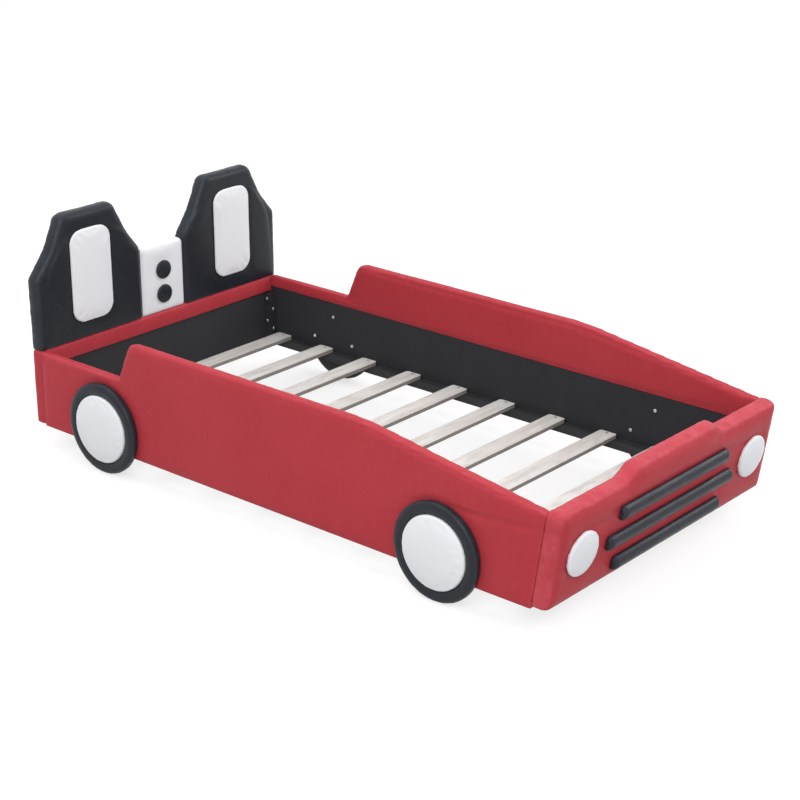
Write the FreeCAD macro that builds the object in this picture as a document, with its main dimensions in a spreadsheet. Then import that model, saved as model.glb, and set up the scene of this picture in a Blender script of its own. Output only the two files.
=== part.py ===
import FreeCAD, Part
import math
import os
import types

import Sketcher

# A child's bed in the shape of an open car, for a mattress of 39 x 75 inches.
# X is the width, +Y the head end, -Y the grille end and Z is up. The origin is on the floor,
# under the middle. Right and left are the car's own: right is -X and left is +X.
# All sizes are in millimetres and degrees. Heights named "above the panels" start at the
# lower edge of the upholstered panels, which the wheels hold clear of the floor.

sizeTable = [
    ("bedLength", 2036.0, "back of the headboard to the front panel's most forward padding"),
    ("mattressWidth", 990.6, "between the side linings, 39 in"),
    ("sideFoam", 8.9, "padding outside a side panel's board"),
    ("headThickness", 40.0, "headboard, front to back"),
    ("noseThickness", 54.0, "front panel, through its padding"),
    ("noseLean", 8.6, "angle by which the top of the front panel stands ahead"),
    ("baseHeight", 244.0, "rear rails and headboard base above the panels' lower edge"),
    ("humpHeight", 369.0, "top of the side panels"),
    ("sideNoseHeight", 281.0, "side panels at the front panel"),
    ("noseHeight", 284.0, "front panel along its slope, at the sides"),
    ("bonnetRise", 31.0, "how far the middle of the front panel stands higher"),
    ("bonnetFoot", 236.0, "half width of the raised middle at its foot"),
    ("bonnetTop", 187.0, "half width of the raised middle at its top"),
    ("railLength", 354.0, "low rear rail, from the headboard to the foot of the hump"),
    ("riseLength", 53.0, "foot of the hump to the top of its steep rise"),
    ("bonnetLength", 574.0, "sloping part of the side panels, from the bend to the front panel"),
    ("sideLiningHeight", 206.0, "black lining of the sides and the front"),
    ("headLiningHeight", 188.0, "black lining of the headboard"),
    ("liningThickness", 1.5, "non-woven lining"),
    ("rollProud", 2.0, "how far the padded roll stands proud of the side lining"),
    ("sideBoardThickness", 15.0, "board inside a side panel"),
    ("edgeFoam", 9.0, "padding over the edges of the boards"),
    ("endWrap", 2.0, "cover over the end grain of a side board"),
    ("headBoardThickness", 20.0, "board inside the headboard"),
    ("headBackFoam", 12.0, "padding behind the headboard's board"),
    ("noseBoardThickness", 18.0, "board inside the front panel"),
    ("sideRound", 10.0, "rounding of the side panels' long edges"),
    ("notchRound", 16.0, "inside corner at the end of the rear rail"),
    ("humpRound", 48.0, "shoulder at the rear end of the hump"),
    ("bendRound", 700.0, "soft bend of the side panels' top"),
    ("noseRound", 22.0, "rolled rim of the front panel"),
    ("noseCorner", 18.0, "upper corners of the front panel"),
    ("bonnetRound", 34.0, "curves at both ends of the raised middle"),
    ("baseRound", 7.0, "upper edges of the headboard base"),
    ("headCorner", 10.0, "upright rear corners of the headboard"),
    ("shoulderHeight", 470.0, "outer shoulder of a seat back"),
    ("innerShoulderHeight", 482.0, "inner shoulder of a seat back"),
    ("seatTopHeight", 654.0, "top of the seat backs"),
    ("seatWaistHeight", 547.0, "height at which the slanting sides steepen"),
    ("seatWaistStep", 62.7, "outer slant there, in from the bed's side"),
    ("seatWaistInner", 142.0, "inner slant there, from the middle"),
    ("seatTopStep", 115.7, "outer end of the flat top, in from the bed's side"),
    ("seatTopInner", 196.0, "inner end of the flat top, from the middle"),
    ("seatInset", 12.0, "padding around the seat backs' board"),
    ("seatProud", 6.0, "how far the seat backs swell out ahead of the headboard base"),
    ("seatRound", 24.0, "front rim of the seat backs"),
    ("seatBackRound", 9.0, "rear rim of the seat backs"),
    ("shoulderRound", 26.0, "shoulders of the seat backs"),
    ("waistRound", 150.0, "hollow of the slanting sides"),
    ("crownRound", 34.0, "upper corners of the seat backs"),
    ("consoleHalf", 91.0, "half width of the white pad between the seat backs"),
    ("consoleHeight", 474.0, "top of the white pad"),
    ("consoleCorner", 18.0, "upper corners of the white pad"),
    ("consoleRound", 12.0, "front rim of the white pad"),
    ("padGap", 0.5, "between neighbouring pads of the headboard"),
    ("insetLift", 53.0, "lower end of a white inset above the headboard base"),
    ("insetWide", 162.0, "width of a white inset"),
    ("insetTall", 300.0, "height of a white inset"),
    ("insetCorner", 46.0, "corners of a white inset"),
    ("insetThick", 8.0, "how far a white inset stands proud"),
    ("insetRound", 5.0, "rim of a white inset"),
    ("buttonRadius", 31.0, "round black buttons"),
    ("buttonEdge", 7.0, "rim height of a button"),
    ("buttonCrown", 4.0, "how much higher its middle is"),
    ("buttonRound", 4.0, "rim of a button"),
    ("upperButtonDrop", 89.0, "middle of the upper button below the white pad's top"),
    ("buttonPitch", 82.0, "from the upper button to the lower one"),
    ("lampRadius", 64.5, "headlamp pads"),
    ("lampStep", 109.7, "middle of a headlamp, in from the bed's side"),
    ("lampHeight", 144.0, "middle of a headlamp, along the front panel's slope"),
    ("lampEdge", 11.0, "rim height of a headlamp"),
    ("lampCrown", 5.0, "how much higher its middle is"),
    ("lampRound", 5.0, "rim of a headlamp"),
    ("lampBoardThickness", 5.0, "disc inside a headlamp"),
    ("lampBoardInset", 4.0, "padding around that disc"),
    ("barHigh", 43.0, "grille bars, across"),
    ("barProud", 17.0, "how far the grille bars stand out"),
    ("barLong", 300.0, "half length of the middle bar"),
    ("barShort", 258.0, "half length of the upper and the lower bar"),
    ("barHeight", 50.0, "middle of the lowest bar, along the slope"),
    ("barPitch", 76.5, "from one bar to the next"),
    ("barEndRound", 9.0, "rounded ends of the bars"),
    ("wheelRadius", 143.0, "tyres"),
    ("wheelFlat", 0.5, "how far the padded tyre is pressed flat by the floor"),
    ("wheelRise", 71.0, "wheel centres above the panels' lower edge"),
    ("rearWheelStep", 332.0, "rear wheels, ahead of the headboard's back"),
    ("frontWheelStep", 302.0, "front wheels, behind the front panel's foot"),
    ("tyreThick", 25.0, "tyre, front to back"),
    ("tyreRound", 9.0, "front outer rim of a tyre"),
    ("tyreInnerRound", 4.0, "rim of a tyre at the hub"),
    ("tyreBackRound", 3.0, "rear outer rim of a tyre"),
    ("wheelBoardThickness", 15.0, "disc inside a wheel"),
    ("wheelBoardInset", 8.0, "padding around that disc"),
    ("hubRadius", 107.0, "white hubs"),
    ("hubEdge", 15.0, "rim height of a hub above its disc"),
    ("hubCrown", 6.0, "how much higher its middle is"),
    ("hubRound", 6.0, "rim of a hub"),
    ("hubGap", 0.3, "between a hub and its tyre"),
    ("boltCircle", 85.0, "wheel bolts, from the wheel's centre"),
    ("boltRadius", 3.0, "shank of the bolts"),
    ("boltHeadRadius", 6.0, "head of the bolts"),
    ("boltHeadHeight", 4.0, "head of the bolts"),
    ("wheelBoltDepth", 12.0, "how deep a bolt reaches into a wheel's disc"),
    ("boardBoltDepth", 12.0, "how deep bolts and screws reach into the boards"),
    ("holeClearance", 0.2, "around every bolt and screw"),
    ("postWide", 30.0, "corner posts, both ways"),
    ("postFoot", 4.0, "lower end of the posts and slat rails above the panels' lower edge"),
    ("postTop", 184.0, "upper end of the posts"),
    ("postLowBolt", 60.0, "lower bolt into the headboard and the front panel"),
    ("postHighBolt", 130.0, "upper bolt into the headboard and the front panel"),
    ("postSideLowBolt", 88.0, "lower bolt into the side panel"),
    ("postSideHighBolt", 168.0, "upper bolt into the side panel"),
    ("slatTop", 44.0, "top of the slats above the panels' lower edge"),
    ("slatThick", 12.0, "slats"),
    ("slatWide", 62.0, "slats"),
    ("firstSlat", 69.0, "middle of the first slat, from the headboard's front"),
    ("lastSlat", 74.5, "middle of the last slat, from the front panel's foot"),
    ("slatCount", 10.0, "number of slats"),
    ("slatCorner", 8.0, "rounded corners of the slats' ends"),
    ("slatEndGap", 2.0, "between a slat's end and the lining"),
    ("railWide", 25.0, "slat rails"),
    ("railEndGap", 1.0, "between a slat rail and the posts"),
    ("screwRadius", 2.0, "shank of the screws"),
    ("screwHeadRadius", 4.0, "countersunk head of the screws"),
    ("screwHeadHeight", 2.5, "countersunk head of the screws"),
    ("slatScrewDepth", 16.0, "how deep a slat screw reaches into the rail"),
]

doc = FreeCAD.newDocument("CarBed")
sheet = doc.addObject("Spreadsheet::Sheet", "Sizes")
for row, (alias, value, note) in enumerate(sizeTable, 1):
    sheet.set("A%d" % row, note)
    sheet.set("B%d" % row, str(value))
    sheet.setAlias("B%d" % row, alias)
doc.recompute()


class Size:
    # A length or an angle that knows its value and the formula that ties it to the sheet.
    def __init__(self, value, text):
        self.value = value
        self.text = text

    def __add__(self, other):
        other = asSize(other)
        return Size(self.value + other.value, "(%s + %s)" % (self.text, other.text))

    def __sub__(self, other):
        other = asSize(other)
        return Size(self.value - other.value, "(%s - %s)" % (self.text, other.text))

    def __mul__(self, other):
        other = asSize(other)
        return Size(self.value * other.value, "(%s * %s)" % (self.text, other.text))

    def __truediv__(self, other):
        other = asSize(other)
        return Size(self.value / other.value, "(%s / %s)" % (self.text, other.text))

    def __neg__(self):
        return Size(-self.value, "(0 - %s)" % self.text)


def asSize(number):
    return number if isinstance(number, Size) else Size(float(number), repr(float(number)))


def sine(angle):
    return Size(math.sin(math.radians(angle.value)), "sin(%s)" % angle.text)


def cosine(angle):
    return Size(math.cos(math.radians(angle.value)), "cos(%s)" % angle.text)


def smaller(first, second):
    return Size(min(first.value, second.value), "min(%s; %s)" % (first.text, second.text))


size = types.SimpleNamespace(
    **{alias: Size(float(sheet.get(alias)), "Sizes." + alias) for alias, value, note in sizeTable}
)
zero = asSize(0)
tiny = 0.01  # how near two measures must be to count as the same
beyond = asSize(5)  # how far a cutting shape reaches past what it cuts

# ---- places worked out from the sizes ----
liningFace = size.mattressWidth / 2
rollFace = liningFace - size.rollProud
boardFace = liningFace + size.liningThickness
halfWidth = boardFace + size.sideBoardThickness + size.sideFoam
groundGap = size.wheelRadius - size.wheelFlat - size.wheelRise
leanSine = sine(size.noseLean)
leanCosine = cosine(size.noseLean)
barTop = size.barHeight + size.barPitch * 2
barRim = smaller(size.barProud * 0.75, size.barHigh * 0.42)
barCrest = size.noseThickness + size.barProud - barRim
barReach = barCrest * leanCosine + (barTop + size.barHigh / 2 - barRim) * leanSine + barRim
noseCrest = size.noseHeight + size.bonnetRise - size.noseRound
noseReach = (size.noseThickness - size.noseRound) * leanCosine + noseCrest * leanSine + size.noseRound
overall = size.bedLength + barReach - noseReach
headBack = overall / 2
headFront = headBack - size.headThickness
seatThickness = size.headThickness + size.seatProud
headBoardBack = headBack - size.headBackFoam
headBoardFront = headBoardBack - size.headBoardThickness
headLiningFace = headBoardFront - size.liningThickness
noseFoot = barReach - overall / 2
noseDrop = size.noseThickness * leanSine
noseBoardFace = size.rollProud + size.liningThickness
railTop = size.slatTop - size.slatThick
postPlace = liningFace - size.postWide / 2
notchPlace = headFront - size.railLength
humpPlace = notchPlace - size.riseLength
bendPlace = noseFoot + size.bonnetLength
seatWaistOuter = halfWidth - size.seatWaistStep
seatTopOuter = halfWidth - size.seatTopStep
sideSigns = {"right": -1, "left": 1}
wheelPlaces = {"rear": headBack - size.rearWheelStep, "front": noseFoot + size.frontWheelStep}


def seamPlace(height):
    # Where the front panel's inner face lies at a height above the panels' lower edge.
    return noseFoot - (height - noseDrop) * leanSine / leanCosine


# ---- ways of making ----
parts = []


def keep(thing, name):
    thing.Label = name
    parts.append(thing)
    return thing


def bind(thing, prop, length):
    thing.setExpression(prop, asSize(length).text)


def place(thing, x, y, z, axis=None, angle=None):
    lengths = [asSize(length) for length in (x, y, z)]
    base = FreeCAD.Vector(*[length.value for length in lengths])
    rotation = FreeCAD.Rotation()
    if axis:
        rotation = FreeCAD.Rotation(FreeCAD.Vector(*axis), asSize(angle).value)
    thing.Placement = FreeCAD.Placement(base, rotation)
    for letter, length in zip("xyz", lengths):
        bind(thing, "Placement.Base." + letter, length)
    if isinstance(angle, Size):
        bind(thing, "Placement.Rotation.Angle", angle)
    return thing


def placeOnNose(thing, x, outward, upward):
    # The front panel's own frame: x across, outward from the inner face, upward along the slope.
    outward, upward = asSize(outward), asSize(upward)
    y = noseFoot - outward * leanCosine - upward * leanSine
    z = groundGap + noseDrop - outward * leanSine + upward * leanCosine
    return place(thing, x, y, z, (1, 0, 0), size.noseLean)


def nosePoint(x, outward, upward):
    y = noseFoot - asSize(outward) * leanCosine - asSize(upward) * leanSine
    z = groundGap + noseDrop - asSize(outward) * leanSine + asSize(upward) * leanCosine
    return (asSize(x), y, z)


def newBody(name):
    body = doc.addObject("PartDesign::Body", name)
    return body


def originPlane(body, role):
    return [feature for feature in body.Origin.OriginFeatures if feature.Role == role][0]


def outline(body, role, corners, crownArc=None):
    # A closed outline whose corners are tied to the sheet. One side may be an arc about the
    # sketch's upright axis, the crown of a round pad.
    sketch = body.newObject("Sketcher::SketchObject", body.Name + "_outline")
    sketch.AttachmentSupport = [(originPlane(body, role), "")]
    sketch.MapMode = "FlatFace"
    corners = [(asSize(x), asSize(y)) for x, y in corners]
    count = len(corners)
    spots = [FreeCAD.Vector(x.value, y.value, 0) for x, y in corners]
    starts = {}
    for index in range(count):
        start, end = spots[index], spots[(index + 1) % count]
        if index == crownArc:
            rise = end.y - start.y
            reach = start.x
            radius = (reach * reach + rise * rise) / (2 * rise)
            circle = Part.Circle(FreeCAD.Vector(0, end.y - radius, 0), FreeCAD.Vector(0, 0, 1), radius)
            opening = math.asin(reach / radius)
            sketch.addGeometry(Part.ArcOfCircle(circle, math.pi / 2 - opening, math.pi / 2), False)
            starts[index] = (1, 2)
        else:
            sketch.addGeometry(Part.LineSegment(start, end), False)
            starts[index] = (1, 2)
    for index in range(count):
        following = (index + 1) % count
        joint = Sketcher.Constraint("Coincident", index, starts[index][1], following, starts[following][0])
        sketch.addConstraint(joint)
    for index, (x, y) in enumerate(corners):
        for letter, length in (("X", x), ("Y", y)):
            kind = "Distance" + letter
            number = sketch.addConstraint(Sketcher.Constraint(kind, -1, 1, index, 1, length.value))
            label = letter.lower() + "Corner%d" % index
            sketch.renameConstraint(number, label)
            bind(sketch, "Constraints." + label, length)
    if crownArc is not None:
        sketch.addConstraint(Sketcher.Constraint("PointOnObject", crownArc, 3, -2))
    return sketch


def padOutline(body, sketch, length, backwards=False):
    pad = body.newObject("PartDesign::Pad", body.Name + "_pad")
    pad.Profile = sketch
    bind(pad, "Length", length)
    pad.Reversed = backwards
    doc.recompute()
    return pad


def roundEdges(body, base, wanted, radius):
    # Rounds the edges of the base feature that the wanted test picks.
    names = ["Edge%d" % number for number, edge in enumerate(base.Shape.Edges, 1) if wanted(edge)]
    fillet = body.newObject("PartDesign::Fillet", body.Name + "_round")
    fillet.Base = (base, names)
    bind(fillet, "Radius", radius)
    doc.recompute()
    return fillet


def middle(edge):
    return edge.valueAt((edge.FirstParameter + edge.LastParameter) / 2)


def atCorner(axis, *corners):
    # Picks the straight edges along an axis at the named corners of the outline.
    across = [letter for letter in "xyz" if letter != axis]

    def wanted(edge):
        if abs(abs(getattr(edge.tangentAt(edge.FirstParameter), axis)) - 1) > tiny:
            return False
        spot = middle(edge)
        found = [getattr(spot, letter) for letter in across]
        return any(
            abs(found[0] - asSize(first).value) < tiny and abs(found[1] - asSize(second).value) < tiny
            for first, second in corners
        )

    return wanted


def onFace(axis, level, above=None):
    # Picks the rim at a level along an axis, leaving out what lies along the bottom.
    def wanted(edge):
        spots = [vertex.Point for vertex in edge.Vertexes] + [middle(edge)]
        if any(abs(getattr(spot, axis) - asSize(level).value) > tiny for spot in spots):
            return False
        return above is None or middle(edge).z > asSize(above).value + tiny

    return wanted


def roundedBody(name, role, corners, length, backwards, cornerRounds, rims):
    # An outline given its thickness, then its corners rounded, then its rims.
    body = newBody(name)
    feature = padOutline(body, outline(body, role, corners), length, backwards)
    for wanted, radius in list(cornerRounds) + list(rims):
        feature = roundEdges(body, feature, wanted, radius)
    return body


def box(name, wide, deep, tall):
    block = doc.addObject("Part::Box", name)
    bind(block, "Length", wide)
    bind(block, "Width", deep)
    bind(block, "Height", tall)
    return block


def cut(name, base, tools):
    tool = tools[0]
    if len(tools) > 1:
        tool = doc.addObject("Part::MultiFuse", name + "_tools")
        tool.Shapes = tools
    result = doc.addObject("Part::Cut", name)
    result.Base = base
    result.Tool = tool
    return result


def asVector(point):
    return FreeCAD.Vector(*[asSize(length).value for length in point])


def drill(name, holes, radius):
    # Straight holes, each from a point along a direction, as one shape to cut with.
    wide = (radius + size.holeClearance).value
    rods = [
        Part.makeCylinder(wide, asSize(deep).value, asVector(start), FreeCAD.Vector(*direction))
        for start, direction, deep in holes
    ]
    feature = doc.addObject("Part::Feature", name)
    feature.Shape = Part.makeCompound(rods)
    return feature


def sunkHead(start, direction, grow):
    # The cone of a countersunk head, grown all round where it is a hole.
    return Part.makeCone(
        size.screwHeadRadius.value + grow,
        size.screwRadius.value + grow,
        size.screwHeadHeight.value,
        asVector(start),
        FreeCAD.Vector(*direction),
    )


def countersink(name, holes):
    feature = doc.addObject("Part::Feature", name)
    grow = size.holeClearance.value
    feature.Shape = Part.makeCompound([sunkHead(start, way, grow) for start, way, deep in holes])
    return feature


def screwGroup(name, spots):
    screws = []
    for start, direction, deep in spots:
        way = FreeCAD.Vector(*direction)
        shank = Part.makeCylinder(size.screwRadius.value, asSize(deep).value, asVector(start), way)
        screws.append(shank.fuse(sunkHead(start, direction, 0)))
    feature = doc.addObject("Part::Feature", name)
    feature.Shape = Part.makeCompound(screws)
    return keep(feature, name)


def boltGroup(name, spots):
    bolts = []
    for start, direction, deep in spots:
        way = FreeCAD.Vector(*direction)
        foot = asVector(start)
        height = size.boltHeadHeight.value
        head = Part.makeCylinder(size.boltHeadRadius.value, height, foot, way * -1)
        rim = [edge for edge in head.Edges if edge.Closed and (middle(edge) - foot).dot(way) < -tiny]
        head = head.makeFillet(height * 0.6, rim)
        shank = Part.makeCylinder(size.boltRadius.value, asSize(deep).value, foot, way)
        bolts.append(head.fuse(shank))
    feature = doc.addObject("Part::Feature", name)
    feature.Shape = Part.makeCompound(bolts)
    return keep(feature, name)


# ---- where the fasteners go: start, direction, depth ----
def wheelBoltSpots(side):
    sign = sideSigns[side]
    deep = halfWidth - liningFace + size.wheelBoltDepth
    spots = []
    for placeY in wheelPlaces.values():
        for turn in (0, 90, 180):
            y = placeY + size.boltCircle * math.cos(math.radians(turn))
            z = groundGap + size.wheelRise + size.boltCircle * math.sin(math.radians(turn))
            spots.append(((liningFace * sign, y, z), (sign, 0, 0), deep))
    return spots


def postSideSpots(side):
    sign = sideSigns[side]
    deep = size.postWide + size.liningThickness + size.boardBoltDepth
    rearMiddle = headLiningFace - size.postWide / 2
    noseMiddle = size.rollProud - size.postWide / 2
    spots = []
    for height in (size.postSideLowBolt, size.postSideHighBolt):
        start = ((liningFace - size.postWide) * sign, rearMiddle, groundGap + height)
        spots.append((start, (sign, 0, 0), deep))
        start = nosePoint((liningFace - size.postWide) * sign, noseMiddle, height)
        spots.append((start, (sign, 0, 0), deep))
    return spots


def headPostSpots():
    deep = size.postWide + size.liningThickness + size.boardBoltDepth
    return [
        ((postPlace * sign, headLiningFace - size.postWide, groundGap + height), (0, 1, 0), deep)
        for sign in sideSigns.values()
        for height in (size.postLowBolt, size.postHighBolt)
    ]


def nosePostSpots():
    deep = size.postWide + size.liningThickness + size.boardBoltDepth
    outward = (0, -leanCosine.value, -leanSine.value)
    return [
        (nosePoint(postPlace * sign, size.rollProud - size.postWide, height), outward, deep)
        for sign in sideSigns.values()
        for height in (size.postLowBolt, size.postHighBolt)
    ]


slatNumbers = range(int(size.slatCount.value))
slatField = headFront - size.firstSlat - noseFoot - size.lastSlat


def slatPlace(index):
    return headFront - size.firstSlat - slatField / (len(slatNumbers) - 1) * index


def railScrewSpots(side):
    # Between every second pair of slats, so that they pass the slats' own screws.
    sign = sideSigns[side]
    deep = size.railWide + size.liningThickness + size.boardBoltDepth
    height = groundGap + (railTop + size.postFoot) / 2
    return [
        (((liningFace - size.railWide) * sign, slatPlace(index + 0.5), height), (sign, 0, 0), deep)
        for index in slatNumbers[:-1:2]
    ]


def slatScrewSpots(index):
    deep = size.slatThick + size.slatScrewDepth
    return [
        (((liningFace - size.railWide / 2) * sign, slatPlace(index), groundGap + size.slatTop), (0, 0, -1), deep)
        for sign in sideSigns.values()
    ]


# ---- side panels: a board, a padded cover over its outside and top, a lining inside ----
def sideCorners(edge, end):
    # The side's outline from the rear lower corner round by the front, drawn in by the padding.
    rise = edge * 0.65
    return [
        (headFront - end, zero),
        (seamPlace(zero) + end, zero),
        (seamPlace(size.sideNoseHeight) + end, size.sideNoseHeight - edge),
        (bendPlace, size.humpHeight - edge),
        (humpPlace - rise, size.humpHeight - edge),
        (notchPlace - rise, size.baseHeight - edge),
        (headFront - end, size.baseHeight - edge),
    ]


def makeSide(side):
    sign = sideSigns[side]
    backwards = sign < 0
    corners = sideCorners(zero, zero)
    form = roundedBody(
        side + "_side_form",
        "YZ_Plane",
        corners,
        halfWidth - rollFace,
        backwards,
        [
            (atCorner("x", corners[3]), size.bendRound),
            (atCorner("x", corners[4]), size.humpRound),
            (atCorner("x", corners[5]), size.notchRound),
        ],
        [
            (onFace("x", (halfWidth - rollFace) * sign, size.sideLiningHeight), size.sideRound),
            (onFace("x", zero, size.sideLiningHeight), size.sideRound),
        ],
    )
    place(form, rollFace * sign, 0, groundGap)
    inner = sideCorners(size.edgeFoam, size.endWrap)
    blank = roundedBody(
        side + "_side_board_blank",
        "YZ_Plane",
        inner,
        size.sideBoardThickness,
        backwards,
        [(atCorner("x", inner[4]), size.humpRound), (atCorner("x", inner[5]), size.notchRound)],
        [],
    )
    place(blank, boardFace * sign, 0, groundGap)
    wheelHoles = drill(side + "_wheel_bolt_holes", wheelBoltSpots(side), size.boltRadius)
    postHoles = drill(side + "_post_bolt_holes", postSideSpots(side), size.boltRadius)
    railHoles = drill(side + "_rail_screw_holes", railScrewSpots(side), size.screwRadius)
    recess = box(
        side + "_side_recess",
        boardFace - rollFace + beyond,
        size.bedLength,
        size.sideLiningHeight + beyond,
    )
    start = rollFace - beyond if sign > 0 else -boardFace
    place(recess, start, -size.bedLength / 2, groundGap - beyond)
    keep(cut(side + "_side_cover", form, [blank, recess, wheelHoles]), side + "_side_cover")
    holes = [wheelHoles, postHoles, railHoles]
    keep(cut(side + "_side_board", blank, holes), side + "_side_board")
    sheetCorners = [
        (headFront, zero),
        (seamPlace(zero), zero),
        (seamPlace(size.sideLiningHeight), size.sideLiningHeight),
        (headFront, size.sideLiningHeight),
    ]
    lining = roundedBody(
        side + "_lining_blank", "YZ_Plane", sheetCorners, size.liningThickness, backwards, [], []
    )
    place(lining, liningFace * sign, 0, groundGap)
    keep(cut(side + "_side_lining", lining, holes), side + "_side_lining")


# ---- headboard: one shaped board, red base, two black seat backs and a white console ----
def seatCorners(sign):
    inner = size.consoleHalf + size.padGap
    return [
        (halfWidth * sign, size.baseHeight),
        (halfWidth * sign, size.shoulderHeight),
        (seatWaistOuter * sign, size.seatWaistHeight),
        (seatTopOuter * sign, size.seatTopHeight),
        (size.seatTopInner * sign, size.seatTopHeight),
        (size.seatWaistInner * sign, size.seatWaistHeight),
        (inner * sign, size.innerShoulderHeight),
        (inner * sign, size.baseHeight),
    ]


def headBoardCorners():
    # One half from the outside in, then the other half back again.
    inset = size.seatInset
    slant = inset * 0.6
    half = [
        (halfWidth - size.edgeFoam, zero),
        (halfWidth - size.edgeFoam, size.shoulderHeight - slant),
        (seatWaistOuter - inset, size.seatWaistHeight - slant),
        (seatTopOuter - inset, size.seatTopHeight - inset),
        (size.seatTopInner + inset, size.seatTopHeight - inset),
        (size.seatWaistInner + inset, size.seatWaistHeight - slant),
        (size.consoleHalf + inset, size.consoleHeight - inset),
    ]
    return half + [(-x, y) for x, y in reversed(half)]


def crownedDisc(name, radius, edge, crown, rounding):
    # A round pad, highest in the middle, with a soft rim. It stands on its own XY plane.
    body = newBody(name)
    corners = [(zero, zero), (radius, zero), (radius, edge), (zero, edge + crown)]
    sketch = outline(body, "XZ_Plane", corners, crownArc=2)
    disc = body.newObject("PartDesign::Revolution", name + "_turned")
    disc.Profile = sketch
    disc.ReferenceAxis = (sketch, ["V_Axis"])
    disc.Angle = 360
    doc.recompute()
    roundEdges(body, disc, onFace("z", edge), rounding)
    return body


def makeHeadboard():
    boardBody = roundedBody(
        "headboard_board_blank", "XZ_Plane", headBoardCorners(), size.headBoardThickness, False, [], []
    )
    place(boardBody, 0, headBoardBack, groundGap)
    boltHoles = drill("headboard_bolt_holes", headPostSpots(), size.boltRadius)
    baseCorners = [
        (-halfWidth, zero),
        (halfWidth, zero),
        (halfWidth, size.baseHeight),
        (-halfWidth, size.baseHeight),
    ]
    form = roundedBody(
        "headboard_form",
        "XZ_Plane",
        baseCorners,
        size.headThickness,
        False,
        [],
        [
            (atCorner("z", (-halfWidth, 0), (halfWidth, 0)), size.headCorner),
            (lambda edge: abs(middle(edge).z - size.baseHeight.value) < tiny, size.baseRound),
        ],
    )
    place(form, 0, headBack, groundGap)
    recess = box(
        "headboard_recess", size.mattressWidth, headBoardFront - headFront + beyond, size.headLiningHeight + beyond
    )
    place(recess, -liningFace, headFront - beyond, groundGap - beyond)
    keep(cut("headboard_cover", form, [boardBody, recess]), "headboard_cover")
    keep(cut("headboard_board", boardBody, [boltHoles]), "headboard_board")
    lining = box("headboard_lining_blank", size.mattressWidth, size.liningThickness, size.headLiningHeight)
    place(lining, -liningFace, headLiningFace, groundGap)
    keep(cut("headboard_lining", lining, [boltHoles]), "headboard_lining")
    for side, sign in sideSigns.items():
        corners = seatCorners(sign)
        seat = roundedBody(
            side + "_seat_back_form",
            "XZ_Plane",
            corners,
            seatThickness,
            False,
            [
                (atCorner("y", corners[1], corners[6]), size.shoulderRound),
                (atCorner("y", corners[2], corners[5]), size.waistRound),
                (atCorner("y", corners[3], corners[4]), size.crownRound),
            ],
            [
                (onFace("y", -seatThickness, size.baseHeight), size.seatRound),
                (onFace("y", zero, size.baseHeight), size.seatBackRound),
            ],
        )
        place(seat, 0, headBack, groundGap)
        keep(cut(side + "_seat_back_pad", seat, [boardBody]), side + "_seat_back_pad")
        insetPlace = (size.consoleHalf + halfWidth) / 2
        insetBody = makeInset(side + "_seat_back_inset", insetPlace * sign)
        keep(insetBody, side + "_seat_back_inset")
    makeConsole(boardBody)


def makeInset(name, x):
    halfWide = size.insetWide / 2
    halfTall = size.insetTall / 2
    corners = [(-halfWide, -halfTall), (halfWide, -halfTall), (halfWide, halfTall), (-halfWide, halfTall)]
    inset = roundedBody(
        name,
        "XZ_Plane",
        corners,
        size.insetThick,
        False,
        [(atCorner("y", *corners), smaller(size.insetCorner, halfWide - 1))],
        [(onFace("y", -size.insetThick), smaller(size.insetRound, size.insetThick - 0.5))],
    )
    height = groundGap + size.baseHeight + size.insetLift + halfTall
    return place(inset, x, headBack - seatThickness, height)


def makeConsole(boardBody):
    half = size.consoleHalf
    corners = [
        (-half, size.baseHeight),
        (half, size.baseHeight),
        (half, size.consoleHeight),
        (-half, size.consoleHeight),
    ]
    console = roundedBody(
        "console_form",
        "XZ_Plane",
        corners,
        size.headThickness,
        False,
        [(atCorner("y", corners[2], corners[3]), size.consoleCorner)],
        [
            (onFace("y", -size.headThickness, size.baseHeight), size.consoleRound),
            (onFace("y", zero, size.baseHeight), size.seatBackRound),
        ],
    )
    place(console, 0, headBack, groundGap)
    keep(cut("console_pad", console, [boardBody]), "console_pad")
    upper = size.consoleHeight - size.upperButtonDrop
    for name, height in (("upper", upper), ("lower", upper - size.buttonPitch)):
        label = name + "_console_button"
        button = crownedDisc(label, size.buttonRadius, size.buttonEdge, size.buttonCrown, size.buttonRound)
        place(button, 0, headFront, groundGap + height, (1, 0, 0), 90)
        keep(button, label)


# ---- front panel: a leaning board with a thick padded cover, lamps and grille bars ----
def noseCorners(side, edge):
    lift = size.noseHeight - edge
    return [
        (-halfWidth + side, zero),
        (halfWidth - side, zero),
        (halfWidth - side, lift),
        (size.bonnetFoot - edge / 2, lift),
        (size.bonnetTop - edge / 2, lift + size.bonnetRise),
        (-size.bonnetTop + edge / 2, lift + size.bonnetRise),
        (-size.bonnetFoot + edge / 2, lift),
        (-halfWidth + side, lift),
    ]


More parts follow.
